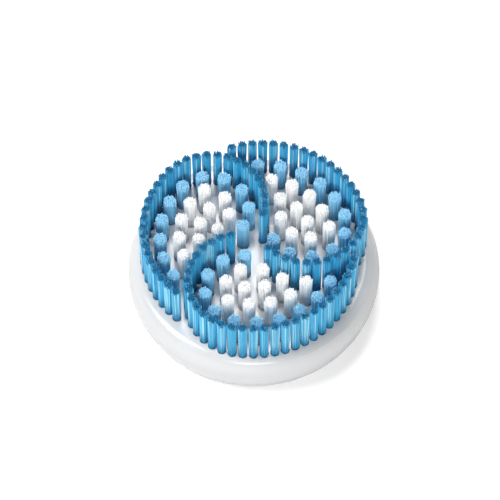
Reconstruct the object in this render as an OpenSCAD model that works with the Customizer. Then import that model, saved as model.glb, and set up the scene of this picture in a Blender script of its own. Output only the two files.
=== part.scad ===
// Rotary exfoliation brush head: a round moulded head with tufts of bristle set in a three-lobed swirl.
// Origin at the centre of the bottom rim, +Z up along the spin axis. Millimetres.

/* [Head] */
// Widest diameter of the head
head_d = 50; // [46:1:60]
// Height of the head, from the bottom rim to the flat of the bristle plate
head_h = 10; // [9:0.5:14]
// Height at which the side wall is widest
waist_h = 6.1; // [5.5:0.1:6.5]
// Radius of the side wall's curve below the waist
wall_curve_r = 13.5; // [11:0.5:20]
// Radius of the rounded bottom edge
rim_round_r = 0.7; // [0.4:0.1:1]
// Diameter of the crease where the plate meets the side wall
crease_d = 47.9; // [47.6:0.1:48.2]
// Drop from the flat of the plate to the crease
crease_drop = 0.8; // [0.5:0.1:1]

/* [Underside] */
// Thickness of the bristle plate
plate_t = 4.9; // [4.6:0.1:5.5]
// Thickness of the skirt at its bottom rim
skirt_t = 1.5; // [1.2:0.1:2]
// Diameter of the drive boss
boss_d = 14; // [13:0.5:15]
// Step of the boss's mouth above the bottom rim
boss_step = 0.8; // [0.5:0.1:1.5]
// Bore of the drive socket
socket_d = 8; // [7:0.5:9]
// Depth of the drive socket
socket_depth = 5; // [4.5:0.1:5.2]
// Number of keyways in the drive socket
keyways = 3; // [2:1:4]
// Width of a keyway
keyway_w = 1.4; // [1:0.1:1.6]
// Depth of a keyway outside the bore
keyway_depth = 1.2; // [0.8:0.1:1.6]
// Number of stiffening ribs between the boss and the skirt
ribs = 6; // [3:3:9]
// Thickness of a rib
rib_t = 1.2; // [0.8:0.1:1.6]
// Depth of a rib below the plate
rib_depth = 2; // [1:0.1:2.5]

/* [Swirl] */
// Number of lobes in the swirl
lobes = 3; // [3:1:3]
// Direction of the first lobe, seen from above
lobe_direction = 19.4; // [0:0.1:60]
// Distance from the spin axis to the centre of a lobe's outer arc
arc_offset = 1.8; // [1.4:0.1:2]
// Radius of a lobe's outer arc
outer_arc_r = 20.3; // [20:0.1:20.5]
// Radius of the curl that brings a lobe back to the middle
curl_arc_r = 10.8; // [10.6:0.1:11]
// Angle of the outer arc before the curl begins
outer_arc_angle = 88; // [86:1:90]

/* [Rim tufts] */
// Tufts in the rim of one lobe
rim_count = 30; // [20:1:30]
// Distance between rim tufts along the lobe
rim_pitch = 2.09; // [2:0.01:2.15]
// Diameter of a rim tuft
rim_tuft_d = 1.8; // [1.4:0.1:1.9]
// Height of the rim tufts above the plate
rim_tuft_h = 10.3; // [8:0.1:12]

/* [Inner tufts] */
// Diameter of an inner tuft
inner_tuft_d = 2.5; // [2:0.1:2.6]
// Tufts in the row that follows the rim of one lobe
row_count = 11; // [6:1:11]
// Distance of that row inside the rim
row_inset = 3.2; // [3:0.1:3.4]
// Start of that row along its own line
row_start = 4.3; // [4:0.1:4.6]
// Distance between the tufts of that row
row_pitch = 4.47; // [4.4:0.01:4.5]
// Height of that row's tufts above the plate
row_tuft_h = 7.7; // [6:0.1:10]
// Height of the core tufts above the plate
core_tuft_h = 8.3; // [6:0.1:10]

/* [Tuft anchoring] */
// Depth of the blind hole that holds a tuft
hole_depth = 3; // [2.5:0.1:3.4]
// Thickness of the flat anchor in a tuft's fold
anchor_t = 0.35; // [0.3:0.05:0.5]
// Height of the anchor
anchor_h = 1.4; // [1:0.1:1.6]
// Bite of the anchor into the plate on each side of the hole
anchor_bite = 0.2; // [0.1:0.05:0.25]
// Depth of bristle folded under the anchor
fold_t = 0.4; // [0.3:0.1:0.6]

/* [Hidden] */
// Arcs of the core tufts, each with its inset from the rim, first angle, step and count
core_arcs = [[7, -10.2, 18.2, 5], [10.8, -22.1, 23.7, 4], [14.5, -12.2, 43.7, 2]];

lobe_names = ["right", "front", "left"];

$fn = 64;
small = 0.01;
white_plastic = [0.95, 0.95, 0.96];
deep_blue = [0.16, 0.55, 0.8];
light_blue = [0.55, 0.78, 0.93];
white_bristle = [0.94, 0.96, 0.98];
anchor_metal = [0.72, 0.62, 0.4];

head_r = head_d / 2;
crease_r = crease_d / 2;
crease_h = head_h - crease_drop;
// The curve of the wall above the waist passes through the crease
shoulder_rise = crease_h - waist_h;
shoulder_run = head_r - crease_r;
shoulder_r = (pow(shoulder_rise, 2) + pow(shoulder_run, 2)) / (2 * shoulder_run);
// The edge of the plate falls to the crease in an arc that is level where it leaves the flat
edge_run = 2.1;
edge_r = (pow(edge_run, 2) + pow(crease_drop, 2)) / (2 * crease_drop);
// The bottom rounding touches the curve of the wall
wall_centre_r = head_r - wall_curve_r;
round_centre_r = wall_centre_r
    + sqrt(pow(wall_curve_r - rim_round_r, 2) - pow(waist_h - rim_round_r, 2));
round_touch_angle = atan2(rim_round_r - waist_h, round_centre_r - wall_centre_r);

underside_h = head_h - plate_t;
skirt_inner_r = round_centre_r - skirt_t;
skirt_draft = 0.4;
cavity_round_r = 0.8;
lead_in = 0.4;
curl_offset = arc_offset + outer_arc_r - curl_arc_r;
crown_cut = 0.5;

// Place on a lobe's line: x, y and heading, from the inset to the rim and the distance along the line
function lobe_place(inset, along) =
    let (
        arc_r = outer_arc_r - inset,
        curl_r = curl_arc_r - inset,
        arc_length = arc_r * outer_arc_angle * PI / 180
    )
    along < arc_length
        ? polar_place(arc_offset, arc_r, outer_arc_angle - along / arc_r * 180 / PI)
        : polar_place(curl_offset, curl_r, -(along - arc_length) / curl_r * 180 / PI);

// Place on a circle whose centre lies on the lobe's own axis
function polar_place(offset, r, angle) = [offset + r * cos(angle), r * sin(angle), angle];

rim_places = [for (k = [0 : rim_count - 1]) lobe_place(0, k * rim_pitch)];
row_places = [for (k = [0 : row_count - 1]) lobe_place(row_inset, row_start + k * row_pitch)];
core_places = [
    for (arc = core_arcs, k = [0 : arc[3] - 1])
        polar_place(arc_offset, outer_arc_r - arc[0], arc[1] + k * arc[2])
];

// Puts its children at each place of one lobe, on the flat of the plate
module in_lobe(index, places) {
    rotate(lobe_direction - index * 360 / lobes)
        for (place = places)
            translate([place.x, place.y, head_h]) rotate(place.z) children();
}

module in_every_lobe(places) {
    for (index = [0 : lobes - 1]) in_lobe(index, places) children();
}

// Outline of a bundle: a round with shallow flutes between its strands
module bundle_outline(d) {
    strands = 8;
    flute = 0.88;
    polygon([
        for (k = [0 : 2 * strands - 1])
            let (r = d / 2 * (k % 2 == 0 ? 1 : flute), angle = 180 / strands * k)
                [r * cos(angle), r * sin(angle)]
    ]);
}

// Flat anchor that lies across the fold of a tuft and bites into the plate beside the hole
module anchor(hole_d) {
    width = hole_d + 2 * anchor_bite;
    translate([-width / 2, -anchor_t / 2, fold_t - hole_depth]) cube([width, anchor_t, anchor_h]);
}

// One tuft: a round foot that fills its hole, a fluted bundle above the plate and a split crown
module tuft(d, height) {
    difference() {
        union() {
            translate([0, 0, -hole_depth]) cylinder(d = d, h = hole_depth);
            linear_extrude(height) bundle_outline(d);
        }
        anchor(d);
        for (turn = [45, 135])
            translate([0, 0, height]) rotate([90, 0, turn]) crown_groove(d);
    }
}

// Groove across the crown of a tuft, a wedge that points down
module crown_groove(d) {
    half_w = crown_cut * 0.6;
    linear_extrude(d * 1.2, center = true)
        polygon([[0, -crown_cut], [half_w, small], [-half_w, small]]);
}

// Half section of the head's outside, from the spin axis outwards
module head_outline() {
    difference() {
        intersection() {
            plate_outline();
            wall_outline();
        }
        bottom_corner();
    }
}

// Flat plate whose edge curves down
module plate_outline() {
    flat_r = crease_r - edge_run;
    square([flat_r, head_h]);
    square([head_r + 1, head_h - edge_r]);
    translate([flat_r, head_h - edge_r]) circle(edge_r);
}

// Side wall: one curve below the waist, a tighter one above it
module wall_outline() {
    intersection() {
        translate([wall_centre_r, waist_h]) circle(wall_curve_r);
        translate([-head_r, 0]) square([2 * head_r + 1, waist_h]);
    }
    intersection() {
        translate([head_r - shoulder_r, waist_h]) circle(shoulder_r);
        translate([0, waist_h]) square([head_r + 1, head_h]);
    }
    translate([0, waist_h]) square([head_r - shoulder_r, head_h - waist_h]);
}

// What the rounded bottom edge takes off the corner
module bottom_corner() {
    reach = 3 * rim_round_r;
    difference() {
        translate([round_centre_r, rim_round_r]) polygon([
            [0, 0],
            [reach * cos(round_touch_angle), reach * sin(round_touch_angle)],
            [reach, -reach],
            [0, -reach]
        ]);
        translate([round_centre_r, rim_round_r]) circle(rim_round_r);
    }
}

// Half section of the hollow between the boss and the skirt
module cavity_outline() {
    polygon([
        [boss_d / 2, -1],
        [skirt_inner_r, -1],
        [skirt_inner_r, 0],
        [skirt_inner_r - skirt_draft, underside_h - cavity_round_r],
        [skirt_inner_r - skirt_draft - cavity_round_r, underside_h],
        [boss_d / 2, underside_h]
    ]);
}

module drive_socket() {
    top = boss_step + socket_depth;
    translate([0, 0, -1]) cylinder(d = socket_d, h = top + 1);
    translate([0, 0, boss_step]) cylinder(d1 = socket_d + 2 * lead_in, d2 = socket_d, h = lead_in);
    for (k = [0 : keyways - 1])
        rotate(k * 360 / keyways)
            translate([0, -keyway_w / 2, -1]) cube([socket_d / 2 + keyway_depth, keyway_w, top + 1]);
}

module stiffening_ribs() {
    inner_r = boss_d / 2 - 0.5;
    outer_r = skirt_inner_r + 0.3;
    for (k = [0 : ribs - 1])
        rotate((k + 0.5) * 360 / ribs)
            translate([inner_r, -rib_t / 2, underside_h - rib_depth])
                cube([outer_r - inner_r, rib_t, rib_depth + 0.5]);
}

// Moulded head: plate, skirt, boss and ribs in one piece, with a blind hole for every tuft
module head_body() {
    color(white_plastic) difference() {
        union() {
            difference() {
                rotate_extrude($fn = 180) head_outline();
                rotate_extrude($fn = 180) cavity_outline();
                translate([0, 0, -1]) cylinder(d = boss_d, h = boss_step + 1);
            }
            stiffening_ribs();
        }
        drive_socket();
        in_every_lobe(rim_places) tuft_hole(rim_tuft_d);
        in_every_lobe(concat(row_places, core_places)) tuft_hole(inner_tuft_d);
    }
}

// Hole for one tuft, with the slots that its anchor cuts
module tuft_hole(d) {
    translate([0, 0, -hole_depth]) cylinder(d = d, h = hole_depth + 1);
    anchor(d);
}

module rim_tufts(index) {
    color(deep_blue) in_lobe(index, rim_places) tuft(rim_tuft_d, rim_tuft_h);
}

module row_tufts(index) {
    color(light_blue) in_lobe(index, row_places) tuft(inner_tuft_d, row_tuft_h);
}

module core_tufts(index) {
    color(white_bristle) in_lobe(index, core_places) tuft(inner_tuft_d, core_tuft_h);
}

module anchors(places, hole_d) {
    color(anchor_metal) in_every_lobe(places) anchor(hole_d);
}

head_body();
rim_tufts(0);  // rim_tufts_right
rim_tufts(1);  // rim_tufts_front
rim_tufts(2);  // rim_tufts_left
row_tufts(0);  // row_tufts_right
row_tufts(1);  // row_tufts_front
row_tufts(2);  // row_tufts_left
core_tufts(0);  // core_tufts_right
core_tufts(1);  // core_tufts_front
core_tufts(2);  // core_tufts_left
anchors(rim_places, rim_tuft_d);  // rim_anchors
anchors(row_places, inner_tuft_d);  // row_anchors
anchors(core_places, inner_tuft_d);  // core_anchors
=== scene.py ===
"""Looks of an exfoliation brush head: filament tufts, finishes, floor, light and camera.

Metres throughout. The head lies in its own frame, with its spin axis along +Z.
"""

import math

import bpy
from bpy.props import (
    FloatProperty,
    FloatVectorProperty,
    IntProperty,
    PointerProperty,
)
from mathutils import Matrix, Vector


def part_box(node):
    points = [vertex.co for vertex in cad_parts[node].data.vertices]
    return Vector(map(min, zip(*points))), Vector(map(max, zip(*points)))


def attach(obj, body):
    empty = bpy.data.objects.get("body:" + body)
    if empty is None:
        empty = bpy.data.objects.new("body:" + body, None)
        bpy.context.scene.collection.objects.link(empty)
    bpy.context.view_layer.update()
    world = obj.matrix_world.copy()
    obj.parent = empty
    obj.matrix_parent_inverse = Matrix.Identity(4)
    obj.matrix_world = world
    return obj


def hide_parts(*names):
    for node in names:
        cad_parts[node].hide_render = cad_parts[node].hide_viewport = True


bl_info = {
    "name": "Exfoliation Brush Head",
    "version": (1, 0, 0),
    "blender": (4, 5, 0),
    "location": "View3D > Sidebar > Brush Head",
    "description": "Plants filament tufts in a moulded brush head and sets its finishes and stage",
    "category": "Object",
}

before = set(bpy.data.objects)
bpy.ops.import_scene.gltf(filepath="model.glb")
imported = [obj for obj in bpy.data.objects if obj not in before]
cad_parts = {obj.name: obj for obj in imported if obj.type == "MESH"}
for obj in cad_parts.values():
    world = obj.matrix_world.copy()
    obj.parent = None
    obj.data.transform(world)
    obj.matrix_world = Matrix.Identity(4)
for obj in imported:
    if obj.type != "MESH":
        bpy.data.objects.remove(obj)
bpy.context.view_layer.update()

MM = 0.001
BODY = "root"
LOBES = ("right", "front", "left")
PLATE_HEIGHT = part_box("head_body")[1].z
ANCHOR_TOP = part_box("rim_anchors")[1].z
HOLE_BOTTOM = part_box("rim_tufts_right")[0].z

# Filaments are grouped in a few shades and a few rings, which also lay out their UV map
SHADES = 16
RINGS = 4
COLUMNS = SHADES * RINGS
FILAMENT_SIDES = 6
UV_MAP = "OFBake"

SOFTBOX_SIZE = 0.3
SOFTBOX_DISTANCE = 0.75


# Settings


def length(name, description, default):
    return FloatProperty(
        name=name, description=description, default=default, min=0.0,
        subtype="DISTANCE", unit="LENGTH", precision=5,
    )


def colour(name, description, default):
    return FloatVectorProperty(
        name=name, description=description, default=default, size=3,
        min=0.0, max=1.0, subtype="COLOR",
    )


def share(name, description, default):
    return FloatProperty(
        name=name, description=description, default=default, min=0.0, max=1.0, subtype="FACTOR",
    )


def strength(name, description, default):
    return FloatProperty(name=name, description=description, default=default, min=0.0)


class SwirlSettings(bpy.types.PropertyGroup):
    """Lines of the three-lobed swirl on which the tufts stand"""

    direction: FloatProperty(
        name="First lobe", description="Direction of the first lobe, seen from above",
        default=math.radians(19.4), subtype="ANGLE", unit="ROTATION",
    )
    arc_offset: length("Arc offset", "From the spin axis to the centre of a lobe's outer arc", 1.8 * MM)
    outer_radius: length("Outer radius", "Radius of a lobe's outer arc", 20.3 * MM)
    curl_radius: length("Curl radius", "Radius of the curl that leads back to the middle", 10.8 * MM)
    outer_angle: FloatProperty(
        name="Outer angle", description="Angle of the outer arc before the curl begins",
        default=math.radians(88), subtype="ANGLE", unit="ROTATION",
    )
    rim_count: IntProperty(name="Rim tufts", description="Rim tufts in a lobe", default=30, min=1)
    rim_pitch: length("Rim pitch", "Distance between rim tufts", 2.09 * MM)
    row_count: IntProperty(name="Row tufts", description="Row tufts in a lobe", default=11, min=1)
    row_inset: length("Row inset", "Distance of the row inside the rim", 3.2 * MM)
    row_start: length("Row start", "Start of the row along its own line", 4.3 * MM)
    row_pitch: length("Row pitch", "Distance between row tufts", 4.47 * MM)


def tuft_group(label, sizes, colours):
    """Property group of one kind of tuft, with that kind's own defaults."""
    diameter, height, filaments, flare, dome, seed = sizes
    body, streak, root, tip = colours
    fields = {
        "diameter": length("Diameter", f"Diameter of a {label} tuft", diameter),
        "height": length("Height", f"Height of a {label} tuft above the plate", height),
        "filaments": IntProperty(
            name="Filaments", description=f"Filaments in a {label} tuft", default=filaments, min=8,
        ),
        "filament_diameter": length("Filament", "Diameter of a filament", 0.22 * MM),
        "flare": share("Flare", "How much wider a tuft is at its tip", flare),
        "stray": length("Stray", "How far a tip leans out of line", 0.10 * MM),
        "ragged": length("Ragged", "How far the tips differ in height", 0.6 * MM),
        "dome": length("Dome", "How much lower the outer filaments end", dome),
        "seed": IntProperty(name="Seed", description="Seed of the random values", default=seed),
        "body": colour("Body", f"Colour of the {label} filaments", body),
        # Painted highlight: the streak colour stands for light caught on some of the filaments
        "streak": colour("Streak", "Colour of the filaments that catch the light", streak),
        # Painted shade: the root colour is darker near the plate, where the tufts shade each other
        "root": colour("Root", "Colour near the plate", root),
        # Painted shade and light: the tip colour is a dark painted shade of the gaps between the ends on the rim tufts,
        # and painted light on the tops of the row tufts
        "tip": colour("Tip", "Colour of the cut ends", tip),
    }
    name = f"{label.capitalize()}TuftSettings"
    return type(name, (bpy.types.PropertyGroup,), {
        "__doc__": f"Sizes and colours of the {label} tufts",
        "__annotations__": fields,
    })


# Colours in order: body; streak, a painted highlight; root, painted shade near the plate; tip, painted shade of the
# gaps between the ends on the rim tufts and painted light on the tops of the row tufts
RimTuftSettings = tuft_group(
    "rim", (1.8 * MM, 10.3 * MM, 48, 0.12, 0.1 * MM, 11),
    ((0.06, 0.50, 0.80), (0.42, 0.80, 0.92), (0.02, 0.36, 0.68), (0.005, 0.12, 0.28)),
)
RowTuftSettings = tuft_group(
    "row", (2.5 * MM, 7.7 * MM, 92, 0.12, 0.35 * MM, 23),
    ((0.24, 0.62, 0.86), (0.42, 0.76, 0.92), (0.20, 0.56, 0.82), (0.42, 0.76, 0.93)),
)
CoreTuftSettings = tuft_group(
    "core", (2.5 * MM, 8.3 * MM, 92, 0.12, 0.35 * MM, 37),
    ((0.98, 0.98, 0.98), (0.98, 0.98, 0.98), (0.97, 0.97, 0.97), (0.96, 0.96, 0.96)),
)


class FinishSettings(bpy.types.PropertyGroup):
    """Finishes of the moulded head and of the anchors"""

    plastic: colour("Plastic", "Colour of the moulded head", (0.65, 0.655, 0.66))
    plastic_roughness: share("Plastic roughness", "Roughness of the moulded head", 0.22)
    brass: colour("Brass", "Colour of the anchors", (0.62, 0.46, 0.20))
    brass_roughness: share("Brass roughness", "Roughness of the anchors", 0.35)


class StageSettings(bpy.types.PropertyGroup):
    """Floor, light and camera"""

    floor_size: length("Floor", "Width of the floor", 4.0)
    floor_colour: colour("Floor colour", "Colour of the floor", (0.86, 0.86, 0.86))
    sky: strength("Sky", "Strength of the light all round", 0.08)
    left: strength("Left softbox", "Power of the softbox on the left, in watts", 3.5)
    back: strength("Back softbox", "Power of the softbox behind, in watts", 3.3)
    front: strength("Front softbox", "Power of the softbox in front, in watts", 3.7)
    camera_distance: length("Distance", "From the camera to the middle of the plate", 707.05 * MM)
    camera_elevation: FloatProperty(
        name="Elevation", description="Height of the camera above the horizon",
        default=math.radians(57.949), subtype="ANGLE", unit="ROTATION",
    )
    lens: FloatProperty(
        name="Lens", description="Focal length in millimetres on a 36 mm sensor", default=256.7, min=1.0,
    )


# Node helpers


def add_node(tree, kind, inputs=(), **settings):
    """Adds a node, sets it up and fills its inputs, each by name or number, with a value or a link."""
    node = tree.nodes.new(kind)
    for name, value in settings.items():
        setattr(node, name, value)
    for key, value in dict(inputs).items():
        if isinstance(value, bpy.types.NodeSocket):
            tree.links.new(value, node.inputs[key])
        else:
            node.inputs[key].default_value = value
    return node


def math_node(tree, operation, *values):
    kind = "ShaderNodeMath"
    return add_node(tree, kind, dict(enumerate(values)), operation=operation).outputs[0]


def vector_math(tree, operation, *values):
    kind = "ShaderNodeVectorMath"
    return add_node(tree, kind, dict(enumerate(values)), operation=operation).outputs[0]


def scaled(tree, vector, factor):
    node = add_node(tree, "ShaderNodeVectorMath", {0: vector, "Scale": factor}, operation="SCALE")
    return node.outputs[0]


def joined_vector(tree, x, y, z):
    return add_node(tree, "ShaderNodeCombineXYZ", {0: x, 1: y, 2: z}).outputs[0]


def ramp_between(tree, value, start, end):
    """0 up to start, 1 from end on and smooth in between."""
    node = add_node(
        tree, "ShaderNodeMapRange", {"Value": value, "From Min": start, "From Max": end},
        interpolation_type="SMOOTHSTEP",
    )
    return node.outputs["Result"]


def mix_colours(tree, factor, first, second, blend="MIX"):
    node = add_node(tree, "ShaderNodeMix", {"Factor": factor}, data_type="RGBA", blend_type=blend)
    for socket, value in ((node.inputs[6], first), (node.inputs[7], second)):
        if isinstance(value, bpy.types.NodeSocket):
            tree.links.new(value, socket)
        else:
            socket.default_value = (*value, 1)
    return node.outputs[2]


def add_sockets(tree, inputs, outputs):
    """Makes a group's sockets, each with a name, a kind and, for an input, a default."""
    for name, kind, default in inputs:
        socket = tree.interface.new_socket(name, in_out="INPUT", socket_type=f"NodeSocket{kind}")
        if default is not None:
            socket.default_value = default
    for name, kind in outputs:
        tree.interface.new_socket(name, in_out="OUTPUT", socket_type=f"NodeSocket{kind}")
    return tree.nodes.new("NodeGroupInput").outputs, tree.nodes.new("NodeGroupOutput").inputs


# Tufts, by geometry nodes


def stored(tree, geometry, name, value, data_type="FLOAT", domain="POINT"):
    node = add_node(
        tree, "GeometryNodeStoreNamedAttribute", {"Geometry": geometry, "Name": name, "Value": value},
        data_type=data_type, domain=domain,
    )
    return node.outputs["Geometry"]


def named(tree, name, data_type="FLOAT"):
    return add_node(
        tree, "GeometryNodeInputNamedAttribute", {"Name": name}, data_type=data_type,
    ).outputs["Attribute"]


def random_between(tree, low, high, key, seed):
    """A random number for each key, from low to high."""
    node = add_node(tree, "FunctionNodeRandomValue", data_type="FLOAT")
    for name, value in (("Min", low), ("Max", high), ("ID", key), ("Seed", seed)):
        socket = next(s for s in node.inputs if s.name == name and s.enabled)
        if isinstance(value, bpy.types.NodeSocket):
            tree.links.new(value, socket)
        else:
            socket.default_value = value
    return next(s for s in node.outputs if s.enabled)


def stepped(tree, value, steps):
    """The middle of the step that a value from 0 to 1 falls in."""
    step = math_node(tree, "FLOOR", math_node(tree, "MULTIPLY", value, steps * 0.9999))
    return math_node(tree, "DIVIDE", math_node(tree, "ADD", step, 0.5), steps)


def filament_mesh(tree, diameter, tip_share):
    """One filament, flattened: its rings lie in one plane and hold their share of its length."""
    segments = 3
    tube = add_node(
        tree, "GeometryNodeMeshCylinder",
        {"Vertices": FILAMENT_SIDES, "Side Segments": segments, "Depth": 1.0,
         "Radius": math_node(tree, "MULTIPLY", diameter, 0.5)},
        fill_type="TRIANGLE_FAN",
    ).outputs["Mesh"]
    place = add_node(tree, "ShaderNodeSeparateXYZ", {0: add_node(tree, "GeometryNodeInputPosition").outputs[0]})
    x, y, z = place.outputs
    ring = math_node(tree, "ROUND", math_node(tree, "MULTIPLY", math_node(tree, "ADD", z, 0.5), segments))
    off_axis = math_node(tree, "SQRT", math_node(tree, "ADD", math_node(tree, "MULTIPLY", x, x), math_node(tree, "MULTIPLY", y, y)))
    centre = math_node(tree, "LESS_THAN", off_axis, 0.01 * MM)
    last = math_node(tree, "COMPARE", ring, float(segments), 0.1)
    apex = math_node(tree, "MULTIPLY", last, centre)
    shoulder = math_node(tree, "COMPARE", ring, segments - 1.0, 0.1)
    # Rings stand at 0, a half, just under the tip and at the tip
    level = math_node(tree, "MINIMUM", math_node(tree, "MULTIPLY", ring, 0.5), 1.0)
    below_tip = math_node(tree, "ADD", shoulder, math_node(tree, "MULTIPLY", math_node(tree, "SUBTRACT", last, apex), 0.3))
    level = math_node(tree, "SUBTRACT", level, math_node(tree, "MULTIPLY", below_tip, tip_share))
    narrowed = math_node(tree, "SUBTRACT", 1.0, math_node(tree, "MULTIPLY", last, 0.35))
    around = math_node(tree, "DIVIDE", math_node(tree, "ABSOLUTE", math_node(tree, "ARCTAN2", y, x)), math.pi)
    mesh = stored(tree, tube, "along", level)
    mesh = stored(tree, mesh, "around", around)
    mesh = stored(tree, mesh, "root_centre", math_node(tree, "MULTIPLY", centre, math_node(tree, "SUBTRACT", 1.0, last)))
    flat = joined_vector(tree, math_node(tree, "MULTIPLY", x, narrowed), math_node(tree, "MULTIPLY", y, narrowed), 0.0)
    return add_node(tree, "GeometryNodeSetPosition", {"Geometry": mesh, "Position": flat}).outputs[0]


def foot_mesh(tree, tuft_diameter, foot_depth, foot_height, anchor_thickness, fold):
    """Folded end of a tuft in its hole, with the window in which the anchor lies."""
    half = math_node(tree, "MULTIPLY", tuft_diameter, 0.495)
    plug = add_node(
        tree, "GeometryNodeMeshCylinder",
        {"Vertices": 16, "Side Segments": 1, "Radius": half, "Depth": foot_height}, fill_type="NGON",
    ).outputs["Mesh"]
    middle = math_node(tree, "SUBTRACT", math_node(tree, "MULTIPLY", foot_height, 0.5), foot_depth)
    plug = add_node(
        tree, "GeometryNodeTransform", {"Geometry": plug, "Translation": joined_vector(tree, 0.0, 0.0, middle)},
    ).outputs[0]
    window = add_node(
        tree, "GeometryNodeMeshCube",
        {"Size": joined_vector(tree, math_node(tree, "MULTIPLY", tuft_diameter, 1.2), anchor_thickness, foot_height)},
    ).outputs["Mesh"]
    window = add_node(
        tree, "GeometryNodeTransform",
        {"Geometry": window, "Translation": joined_vector(tree, 0.0, 0.0, math_node(tree, "ADD", middle, fold))},
    ).outputs[0]
    cut = add_node(tree, "GeometryNodeMeshBoolean", {"Mesh 1": plug, "Mesh 2": window}, operation="DIFFERENCE")
    mesh = stored(tree, cut.outputs["Mesh"], "along", 0.0)
    return stored(tree, mesh, "around", 0.5)


def tuft_tree():
    """Geometry nodes that turn each vertex of a mesh into a tuft of filaments with a folded foot."""
    tree = bpy.data.node_groups.new("Filament tufts", "GeometryNodeTree")
    given, result = add_sockets(tree, [
        ("Places", "Geometry", None),
        ("Tuft Diameter", "Float", 1.8 * MM),
        ("Tuft Height", "Float", 10.3 * MM),
        ("Filaments", "Int", 56),
        ("Filament Diameter", "Float", 0.2 * MM),
        ("Flare", "Float", 0.08),
        ("Stray", "Float", 0.07 * MM),
        ("Ragged", "Float", 0.45 * MM),
        ("Dome", "Float", 0.1 * MM),
        ("Anchor Top", "Float", 1.2 * MM),
        ("Hole Depth", "Float", 3 * MM),
        ("Anchor Thickness", "Float", 0.35 * MM),
        ("Fold", "Float", 0.4 * MM),
        ("Seed", "Int", 0),
        ("Material", "Material", None),
    ], [("Tufts", "Geometry")])

    points = add_node(tree, "GeometryNodeMeshToPoints", {"Mesh": given["Places"]}).outputs[0]
    copies = add_node(
        tree, "GeometryNodeDuplicateElements", {"Geometry": points, "Amount": given["Filaments"]}, domain="POINT",
    )
    number = copies.outputs["Duplicate Index"]
    index = add_node(tree, "GeometryNodeInputIndex").outputs[0]
    tuft = math_node(tree, "FLOOR", math_node(tree, "DIVIDE", index, given["Filaments"]))
    seed = given["Seed"]

    def drawn(low, high, step, key=index):
        return random_between(tree, low, high, key, math_node(tree, "ADD", seed, float(step)))

    # Filaments stand like the seeds of a sunflower, so that they fill the round evenly
    spread = math_node(tree, "SQRT", math_node(
        tree, "DIVIDE", math_node(tree, "ADD", number, 0.5), given["Filaments"]))
    golden_angle = math.pi * (3 - math.sqrt(5))
    turn = math_node(tree, "ADD", math_node(tree, "MULTIPLY", number, golden_angle), drawn(0.0, math.tau, 1, tuft))
    reach = math_node(tree, "MULTIPLY", spread, math_node(
        tree, "MULTIPLY", math_node(tree, "SUBTRACT", given["Tuft Diameter"], given["Filament Diameter"]), 0.5))
    fan = joined_vector(
        tree, math_node(tree, "MULTIPLY", math_node(tree, "COSINE", turn), reach),
        math_node(tree, "MULTIPLY", math_node(tree, "SINE", turn), reach), 0.0)
    lean_way = drawn(0.0, math.tau, 2)
    lean = math_node(tree, "MULTIPLY", drawn(0.0, 1.0, 3), given["Stray"])
    stray = joined_vector(
        tree, math_node(tree, "MULTIPLY", math_node(tree, "COSINE", lean_way), lean),
        math_node(tree, "MULTIPLY", math_node(tree, "SINE", lean_way), lean), 0.0)
    drop = math_node(
        tree, "ADD", math_node(tree, "MULTIPLY", drawn(0.0, 1.0, 4), given["Ragged"]),
        math_node(tree, "MULTIPLY", given["Dome"], math_node(tree, "POWER", spread, 3.0)))

    geometry = stored(tree, copies.outputs["Geometry"], "fan", fan, "FLOAT_VECTOR")
    geometry = stored(tree, geometry, "stray", stray, "FLOAT_VECTOR")
    geometry = stored(tree, geometry, "drop", drop)
    geometry = stored(tree, geometry, "spread", stepped(tree, math_node(tree, "POWER", spread, 2.0), RINGS))
    geometry = stored(tree, geometry, "strand", stepped(tree, drawn(0.0, 1.0, 5), SHADES))
    geometry = add_node(tree, "GeometryNodeSetPosition", {"Geometry": geometry, "Offset": fan}).outputs[0]

    tip_share = math_node(tree, "DIVIDE", given["Filament Diameter"], given["Tuft Height"])
    filament = filament_mesh(tree, given["Filament Diameter"], tip_share)
    bundle = add_node(
        tree, "GeometryNodeInstanceOnPoints",
        {"Points": geometry, "Instance": filament, "Rotation": joined_vector(tree, 0.0, 0.0, drawn(0.0, math.tau, 6))},
    ).outputs[0]
    bundle = add_node(tree, "GeometryNodeRealizeInstances", {"Geometry": bundle}).outputs[0]

    # Every ring goes to its height, and leans more the higher it is
    along = named(tree, "along")
    bend = math_node(tree, "MULTIPLY", along, along)
    outwards = vector_math(
        tree, "ADD", scaled(tree, named(tree, "fan", "FLOAT_VECTOR"), given["Flare"]),
        named(tree, "stray", "FLOAT_VECTOR"))
    whole = math_node(tree, "SUBTRACT", math_node(
        tree, "ADD", given["Tuft Height"], given["Anchor Top"]), named(tree, "drop"))
    rise = math_node(tree, "SUBTRACT", math_node(tree, "MULTIPLY", along, whole), given["Anchor Top"])
    offset = vector_math(tree, "ADD", scaled(tree, outwards, bend), joined_vector(tree, 0.0, 0.0, rise))
    bundle = add_node(tree, "GeometryNodeSetPosition", {"Geometry": bundle, "Offset": offset}).outputs[0]
    bundle = add_node(
        tree, "GeometryNodeSetShadeSmooth", {"Geometry": bundle, "Shade Smooth": True}).outputs[0]

    # Each shade and ring of filaments has its own column of the map
    column = math_node(tree, "ADD", math_node(
        tree, "MULTIPLY", math_node(tree, "FLOOR", math_node(tree, "MULTIPLY", named(tree, "strand"), SHADES)), RINGS),
        math_node(tree, "FLOOR", math_node(tree, "MULTIPLY", named(tree, "spread"), RINGS)))
    across = math_node(tree, "ADD", column, math_node(
        tree, "ADD", math_node(tree, "MULTIPLY", named(tree, "around"), 0.6), 0.2))
    up = math_node(tree, "SUBTRACT", math_node(tree, "ADD", math_node(tree, "MULTIPLY", along, 0.96), 0.02),
                   math_node(tree, "MULTIPLY", named(tree, "root_centre"), 0.02))
    map_place = joined_vector(tree, math_node(tree, "DIVIDE", across, COLUMNS), up, 0.0)
    bundle = stored(tree, bundle, UV_MAP, map_place, "FLOAT2", "CORNER")

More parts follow.
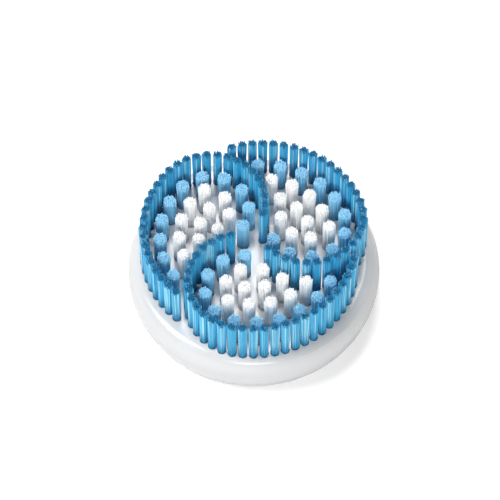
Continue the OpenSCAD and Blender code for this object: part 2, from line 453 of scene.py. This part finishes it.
    foot_height = math_node(tree, "SUBTRACT", given["Hole Depth"], given["Anchor Top"])
    foot = foot_mesh(
        tree, given["Tuft Diameter"], given["Hole Depth"], foot_height, given["Anchor Thickness"], given["Fold"])
    feet = add_node(
        tree, "GeometryNodeInstanceOnPoints",
        {"Points": points, "Instance": foot, "Rotation": joined_vector(tree, 0.0, 0.0, named(tree, "heading"))},
    ).outputs[0]
    feet = add_node(tree, "GeometryNodeRealizeInstances", {"Geometry": feet}).outputs[0]

    joined = tree.nodes.new("GeometryNodeJoinGeometry")
    tree.links.new(feet, joined.inputs[0])
    tree.links.new(bundle, joined.inputs[0])
    whole_mesh = add_node(tree, "GeometryNodeRealizeInstances", {"Geometry": joined.outputs[0]}).outputs[0]
    finished = add_node(
        tree, "GeometryNodeSetMaterial", {"Geometry": whole_mesh, "Material": given["Material"]}).outputs[0]
    tree.links.new(finished, result["Tufts"])
    return tree


def grown_mesh(name, places, tree, values):
    """Plain mesh that the tree makes from these places, each with x, y and a heading."""
    seeds = bpy.data.meshes.new(name + "_places")
    seeds.from_pydata([(x, y, PLATE_HEIGHT) for x, y, _ in places], [], [])
    heading = seeds.attributes.new("heading", "FLOAT", "POINT")
    heading.data.foreach_set("value", [angle for _, _, angle in places])
    holder = bpy.data.objects.new(name + "_places", seeds)
    bpy.context.scene.collection.objects.link(holder)
    modifier = holder.modifiers.new("Tufts", "NODES")
    modifier.node_group = tree
    for socket in tree.interface.items_tree:
        if socket.in_out == "INPUT" and socket.name in values:
            modifier[socket.identifier] = values[socket.name]
    depsgraph = bpy.context.evaluated_depsgraph_get()
    mesh = bpy.data.meshes.new_from_object(
        holder.evaluated_get(depsgraph), preserve_all_data_layers=True, depsgraph=depsgraph)
    bpy.data.objects.remove(holder)
    bpy.data.meshes.remove(seeds)
    mesh.name = name
    return mesh


# Places of the tufts


def polar_place(offset, radius, angle):
    return offset + radius * math.cos(angle), radius * math.sin(angle), angle


def lobe_place(swirl, inset, along):
    """Place on a lobe's line, from the inset to the rim and the distance along the line."""
    arc_radius = swirl.outer_radius - inset
    curl_radius = swirl.curl_radius - inset
    arc_length = arc_radius * swirl.outer_angle
    if along < arc_length:
        return polar_place(swirl.arc_offset, arc_radius, swirl.outer_angle - along / arc_radius)
    curl_offset = swirl.arc_offset + swirl.outer_radius - swirl.curl_radius
    return polar_place(curl_offset, curl_radius, (arc_length - along) / curl_radius)


def rim_places(swirl):
    return [lobe_place(swirl, 0, k * swirl.rim_pitch) for k in range(swirl.rim_count)]


def row_places(swirl):
    return [
        lobe_place(swirl, swirl.row_inset, swirl.row_start + k * swirl.row_pitch)
        for k in range(swirl.row_count)
    ]


def core_places(swirl):
    """Three arcs of tufts, each with its inset, first angle, step and count."""
    arcs = ((7.0, -10.2, 18.2, 5), (10.8, -22.1, 23.7, 4), (14.5, -12.2, 43.7, 2))
    return [
        polar_place(swirl.arc_offset, swirl.outer_radius - inset * MM, math.radians(first + k * step))
        for inset, first, step, count in arcs
        for k in range(count)
    ]


def turned(places, angle):
    """Places turned about the spin axis."""
    c, s = math.cos(angle), math.sin(angle)
    return [(x * c - y * s, x * s + y * c, heading + angle) for x, y, heading in places]


def plant_tufts(kind, places, tufts, swirl):
    """Builds one piece of tufts for each lobe, and lets it stand for the lobe's solid tufts."""
    tree = bpy.data.node_groups.get("Filament tufts") or tuft_tree()
    material = bristle_material(kind, tufts)
    for number, lobe in enumerate(LOBES):
        values = {
            "Tuft Diameter": tufts.diameter,
            "Tuft Height": tufts.height,
            "Filaments": tufts.filaments,
            "Filament Diameter": tufts.filament_diameter,
            "Flare": tufts.flare,
            "Stray": tufts.stray,
            "Ragged": tufts.ragged,
            "Dome": tufts.dome,
            "Anchor Top": PLATE_HEIGHT - ANCHOR_TOP,
            "Hole Depth": PLATE_HEIGHT - HOLE_BOTTOM,
            "Seed": tufts.seed + 100 * number,
            "Material": material,
        }
        name = f"{kind}_filaments_{lobe}"
        angle = swirl.direction - number * math.tau / len(LOBES)
        mesh = grown_mesh(name, turned(places, angle), tree, values)
        if not mesh.polygons:
            raise RuntimeError(f"{name} came out empty")
        piece = bpy.data.objects.new(name, mesh)
        bpy.context.scene.collection.objects.link(piece)
        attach(piece, BODY)
        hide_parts(f"{kind}_tufts_{lobe}")


# Materials


def bristle_group():
    """Colour along a filament: deeper at the root, streaks where it catches the light, cut end at the tip."""
    tree = bpy.data.node_groups.new("Bristle colour", "ShaderNodeTree")
    given, result = add_sockets(tree, [
        ("Body", "Color", (0.5, 0.5, 0.5, 1)),
        ("Streak", "Color", (0.8, 0.8, 0.8, 1)),
        ("Root", "Color", (0.3, 0.3, 0.3, 1)),
        ("Tip", "Color", (0.1, 0.1, 0.1, 1)),
        ("Streaks", "Float", 0.3),
        ("Root Reach", "Float", 0.35),
        ("Tip Reach", "Float", 0.05),
        ("Rim Light", "Float", 0.5),
    ], [("Color", "Color"), ("Tip Mask", "Float")])
    along = add_node(tree, "ShaderNodeAttribute", attribute_name="along").outputs["Fac"]
    strand = add_node(tree, "ShaderNodeAttribute", attribute_name="strand").outputs["Fac"]
    spread = add_node(tree, "ShaderNodeAttribute", attribute_name="spread").outputs["Fac"]

    # Painted highlight: a random share of the strands takes the lighter streak colour
    streak_start = math_node(tree, "SUBTRACT", 1.0, given["Streaks"])
    streak = ramp_between(tree, strand, streak_start, 1.0)
    shade = mix_colours(tree, streak, given["Body"], given["Streak"])
    dim = math_node(tree, "ADD", math_node(tree, "MULTIPLY", strand, 0.10), 0.9)
    shade = mix_colours(tree, 1.0, shade, joined_vector(tree, dim, dim, dim), "MULTIPLY")
    # Painted shade: towards the plate the colour turns to the darker root colour
    root = math_node(tree, "SUBTRACT", 1.0, ramp_between(tree, along, 0.08, given["Root Reach"]))
    shade = mix_colours(tree, root, shade, given["Root"])
    # At the cut end the colour turns to the tip colour, which is painted shade where dark and painted light where light
    tip = ramp_between(tree, along, math_node(tree, "SUBTRACT", 1.0, given["Tip Reach"]), 1.0)
    # Painted light: Rim Light keeps the outer ring of tips nearer the body colour, for their lit sides
    held = math_node(tree, "SUBTRACT", 1.0, math_node(tree, "MULTIPLY", given["Rim Light"], ramp_between(tree, spread, 0.4, 1.0)))
    tip = math_node(tree, "MULTIPLY", tip, held)
    tree.links.new(mix_colours(tree, tip, shade, given["Tip"]), result["Color"])
    tree.links.new(tip, result["Tip Mask"])
    return tree


def grain_group():
    """Fine unevenness of a moulded or stamped surface, as a shade and a height."""
    tree = bpy.data.node_groups.new("Fine grain", "ShaderNodeTree")
    given, result = add_sockets(tree, [
        ("Scale", "Float", 900.0),
        ("Stretch", "Vector", (1.0, 1.0, 1.0)),
        ("Contrast", "Float", 0.05),
    ], [("Shade", "Float"), ("Height", "Float")])
    place = add_node(tree, "ShaderNodeTexCoord").outputs["Object"]
    stretched = vector_math(tree, "MULTIPLY", place, given["Stretch"])
    cloud = add_node(tree, "ShaderNodeTexNoise", {"Vector": stretched, "Scale": given["Scale"], "Detail": 3.0})
    shade = math_node(tree, "ADD", 1.0, math_node(
        tree, "MULTIPLY", math_node(tree, "SUBTRACT", cloud.outputs[0], 0.5), given["Contrast"]))
    tree.links.new(shade, result["Shade"])
    tree.links.new(cloud.outputs[0], result["Height"])
    return tree


def new_material(name):
    """A material with only its Principled shader, and the tree and shader."""
    material = bpy.data.materials.new(name)
    material.use_nodes = True
    tree = material.node_tree
    return material, tree, tree.nodes["Principled BSDF"]


def bristle_material(kind, tufts):
    material, tree, shader = new_material(f"{kind}_bristle_nylon")
    group = bpy.data.node_groups.get("Bristle colour") or bristle_group()
    looks = {
        "rim": {"Streaks": 0.35, "Root Reach": 0.5, "Tip Reach": 0.05, "Rim Light": 0.6},
        "row": {"Streaks": 0.3, "Root Reach": 0.5, "Tip Reach": 0.12, "Rim Light": 0.0},
        "core": {"Streaks": 0.3, "Root Reach": 0.5, "Tip Reach": 0.12, "Rim Light": 0.0},
    }[kind]
    colours = {name: (*getattr(tufts, name.lower()), 1) for name in ("Body", "Streak", "Root", "Tip")}
    strands = add_node(tree, "ShaderNodeGroup", node_tree=group)
    for name, value in {**looks, **colours}.items():
        strands.inputs[name].default_value = value
    tree.links.new(strands.outputs["Color"], shader.inputs["Base Color"])
    shader.inputs["Roughness"].default_value = 0.38
    shader.inputs["IOR"].default_value = 1.5
    return material


def plastic_material(finish):
    """Glossy white moulded plastic with a faint cloudiness."""
    material, tree, shader = new_material("head_moulded_plastic")
    group = bpy.data.node_groups.get("Fine grain") or grain_group()
    grain = add_node(tree, "ShaderNodeGroup", node_tree=group)
    grain.inputs["Scale"].default_value = 260.0
    grain.inputs["Contrast"].default_value = 0.03
    shade = grain.outputs["Shade"]
    base = mix_colours(tree, 1.0, finish.plastic, joined_vector(tree, shade, shade, shade), "MULTIPLY")
    tree.links.new(base, shader.inputs["Base Color"])
    rough = math_node(tree, "MULTIPLY", shade, finish.plastic_roughness)
    tree.links.new(rough, shader.inputs["Roughness"])
    bump = add_node(tree, "ShaderNodeBump", {"Height": grain.outputs["Height"], "Strength": 0.05, "Distance": 0.05 * MM})
    tree.links.new(bump.outputs[0], shader.inputs["Normal"])
    shader.inputs["IOR"].default_value = 1.5
    return material


def brass_material(finish):
    """Flat brass wire, drawn lengthways."""
    material, tree, shader = new_material("anchor_drawn_brass")
    group = bpy.data.node_groups.get("Fine grain") or grain_group()
    grain = add_node(tree, "ShaderNodeGroup", node_tree=group)
    grain.inputs["Scale"].default_value = 2500.0
    grain.inputs["Stretch"].default_value = (1.0, 1.0, 8.0)
    grain.inputs["Contrast"].default_value = 0.3
    shade = grain.outputs["Shade"]
    base = mix_colours(tree, 1.0, finish.brass, joined_vector(tree, shade, shade, shade), "MULTIPLY")
    tree.links.new(base, shader.inputs["Base Color"])
    tree.links.new(math_node(tree, "MULTIPLY", shade, finish.brass_roughness), shader.inputs["Roughness"])
    bump = add_node(tree, "ShaderNodeBump", {"Height": grain.outputs["Height"], "Strength": 0.2, "Distance": 0.01 * MM})
    tree.links.new(bump.outputs[0], shader.inputs["Normal"])
    shader.inputs["Metallic"].default_value = 1.0
    return material


def dress_node(name, material):
    """Puts one material on a CAD node."""
    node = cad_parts.get(name)
    if node is None:
        raise RuntimeError(f"the packed part has no {name}")
    for slot in node.material_slots:
        slot.material = material


# Stage


def floor_material(stage):
    """Pale floor that shows white to the camera and keeps the object's shadow."""
    material, tree, shader = new_material("floor_paper")
    shader.inputs["Base Color"].default_value = (*stage.floor_colour, 1)
    shader.inputs["Roughness"].default_value = 0.5
    lift = add_node(tree, "ShaderNodeEmission", {"Color": (1, 1, 1, 1)})
    path = add_node(tree, "ShaderNodeLightPath")
    seen = math_node(tree, "MULTIPLY", path.outputs["Is Camera Ray"], 0.25)
    tree.links.new(seen, lift.inputs["Strength"])
    lit = add_node(tree, "ShaderNodeAddShader", {0: shader.outputs[0], 1: lift.outputs[0]})
    clear = add_node(tree, "ShaderNodeBsdfTransparent")
    behind = add_node(tree, "ShaderNodeNewGeometry").outputs["Backfacing"]
    both = add_node(tree, "ShaderNodeMixShader", {0: behind, 1: lit.outputs[0], 2: clear.outputs[0]})
    tree.links.new(both.outputs[0], tree.nodes["Material Output"].inputs["Surface"])
    return material


def add_floor(stage):
    half = stage.floor_size / 2
    mesh = bpy.data.meshes.new("floor")
    mesh.from_pydata([(-half, -half, 0), (half, -half, 0), (half, half, 0), (-half, half, 0)], [], [(0, 1, 2, 3)])
    mesh.materials.append(floor_material(stage))
    floor = bpy.data.objects.new("floor", mesh)
    bpy.context.scene.collection.objects.link(floor)


def add_softbox(name, bearing, elevation, power):
    """Square lamp that looks at the head from a bearing and a height above the horizon."""
    lamp = bpy.data.lights.new(name, "AREA")
    lamp.size = SOFTBOX_SIZE
    lamp.energy = power
    holder = bpy.data.objects.new(name, lamp)
    way = Vector((
        math.cos(elevation) * math.cos(bearing), math.cos(elevation) * math.sin(bearing), math.sin(elevation),
    ))
    holder.location = way * SOFTBOX_DISTANCE
    holder.rotation_euler = (-way).to_track_quat("-Z", "Y").to_euler()
    bpy.context.scene.collection.objects.link(holder)


def add_sky(stage):
    """White all round: full white to the eye and in gloss, softer as light."""
    world = bpy.data.worlds.new("studio")
    bpy.context.scene.world = world
    world.use_nodes = True
    tree = world.node_tree
    ground = tree.nodes["Background"]
    ground.inputs["Color"].default_value = (1, 1, 1, 1)
    path = add_node(tree, "ShaderNodeLightPath")
    seen = math_node(tree, "MAXIMUM", path.outputs["Is Camera Ray"], path.outputs["Is Transmission Ray"])
    lift = math_node(tree, "MULTIPLY", seen, 1.0 - stage.sky)
    tree.links.new(math_node(tree, "ADD", stage.sky, lift), ground.inputs["Strength"])


def add_camera(stage):
    camera = bpy.data.cameras.new("camera")
    camera.sensor_width = 36
    camera.lens = stage.lens
    holder = bpy.data.objects.new("camera", camera)
    aim = Vector((-0.761 * MM, 1.873 * MM, PLATE_HEIGHT))
    elevation = stage.camera_elevation
    back = Vector((0, -math.cos(elevation), math.sin(elevation)))
    holder.location = aim + back * stage.camera_distance
    holder.rotation_euler = (math.pi / 2 - elevation, 0, 0)
    bpy.context.scene.collection.objects.link(holder)
    bpy.context.scene.camera = holder


# Operators


class BRUSH_OT_finish_head(bpy.types.Operator):
    """Give the moulded head its white plastic"""

    bl_idname = "brush_head.finish_head"
    bl_label = "Finish Head"

    def execute(self, context):
        dress_node("head_body", plastic_material(context.scene.brush_finish))
        return {"FINISHED"}


class BRUSH_OT_finish_anchors(bpy.types.Operator):
    """Give the tuft anchors their drawn brass"""

    bl_idname = "brush_head.finish_anchors"
    bl_label = "Finish Anchors"

    def execute(self, context):
        material = brass_material(context.scene.brush_finish)
        for kind in ("rim", "row", "core"):
            dress_node(f"{kind}_anchors", material)
        return {"FINISHED"}


class BRUSH_OT_plant_rim(bpy.types.Operator):
    """Plant the deep blue tufts along the rim of each lobe"""

    bl_idname = "brush_head.plant_rim"
    bl_label = "Plant Rim Tufts"

    def execute(self, context):
        scene = context.scene
        plant_tufts("rim", rim_places(scene.brush_swirl), scene.brush_rim, scene.brush_swirl)
        return {"FINISHED"}


class BRUSH_OT_plant_row(bpy.types.Operator):
    """Plant the light blue tufts in a row inside each rim"""

    bl_idname = "brush_head.plant_row"
    bl_label = "Plant Row Tufts"

    def execute(self, context):
        scene = context.scene
        plant_tufts("row", row_places(scene.brush_swirl), scene.brush_row, scene.brush_swirl)
        return {"FINISHED"}


class BRUSH_OT_plant_core(bpy.types.Operator):
    """Plant the white tufts in the middle of each lobe"""

    bl_idname = "brush_head.plant_core"
    bl_label = "Plant Core Tufts"

    def execute(self, context):
        scene = context.scene
        plant_tufts("core", core_places(scene.brush_swirl), scene.brush_core, scene.brush_swirl)
        return {"FINISHED"}


class BRUSH_OT_set_stage(bpy.types.Operator):
    """Lay the floor and set the light and the camera"""

    bl_idname = "brush_head.set_stage"
    bl_label = "Set Stage"

    def execute(self, context):
        stage = context.scene.brush_stage
        context.scene.view_settings.view_transform = "Standard"
        # Light has to find its way out from between the filaments
        context.scene.cycles.max_bounces = 32
        context.scene.cycles.diffuse_bounces = 32
        add_floor(stage)
        add_sky(stage)
        add_softbox("left_softbox", math.pi, math.radians(60), stage.left)
        add_softbox("back_softbox", math.pi / 2, math.radians(60), stage.back)
        add_softbox("front_softbox", -math.pi / 2, math.radians(35), stage.front)
        add_camera(stage)
        return {"FINISHED"}


class BRUSH_PT_panel(bpy.types.Panel):
    """Sizes, colours and steps of the brush head"""

    bl_idname = "BRUSH_PT_panel"
    bl_label = "Brush Head"
    bl_space_type = "VIEW_3D"
    bl_region_type = "UI"
    bl_category = "Brush Head"

    def draw(self, context):
        for group_name, steps in PANEL_PARTS:
            group = getattr(context.scene, group_name)
            box = self.layout.box()
            for field in group.__annotations__:
                box.prop(group, field)
            for step in steps:
                box.operator(step)


PANEL_PARTS = (
    ("brush_swirl", ()),
    ("brush_finish", ("brush_head.finish_head", "brush_head.finish_anchors")),
    ("brush_rim", ("brush_head.plant_rim",)),
    ("brush_row", ("brush_head.plant_row",)),
    ("brush_core", ("brush_head.plant_core",)),
    ("brush_stage", ("brush_head.set_stage",)),
)
SETTINGS = {
    "brush_swirl": SwirlSettings,
    "brush_finish": FinishSettings,
    "brush_rim": RimTuftSettings,
    "brush_row": RowTuftSettings,
    "brush_core": CoreTuftSettings,
    "brush_stage": StageSettings,
}
OPERATORS = (
    BRUSH_OT_finish_head,
    BRUSH_OT_finish_anchors,
    BRUSH_OT_plant_rim,
    BRUSH_OT_plant_row,
    BRUSH_OT_plant_core,
    BRUSH_OT_set_stage,
)
CLASSES = (*SETTINGS.values(), *OPERATORS, BRUSH_PT_panel)


def register():
    for entry in CLASSES:
        bpy.utils.register_class(entry)
    for name, group in SETTINGS.items():
        setattr(bpy.types.Scene, name, PointerProperty(type=group))


def unregister():
    for name in SETTINGS:
        delattr(bpy.types.Scene, name)
    for entry in reversed(CLASSES):
        bpy.utils.unregister_class(entry)


def main():
    """Registers the tools, builds the brush head and its stage, and writes both boxes."""
    register()
    for step in (
        bpy.ops.brush_head.finish_head,
        bpy.ops.brush_head.finish_anchors,
        bpy.ops.brush_head.plant_rim,
        bpy.ops.brush_head.plant_row,
        bpy.ops.brush_head.plant_core,
        bpy.ops.brush_head.set_stage,
    ):
        step()


if __name__ == "__main__":
    main()
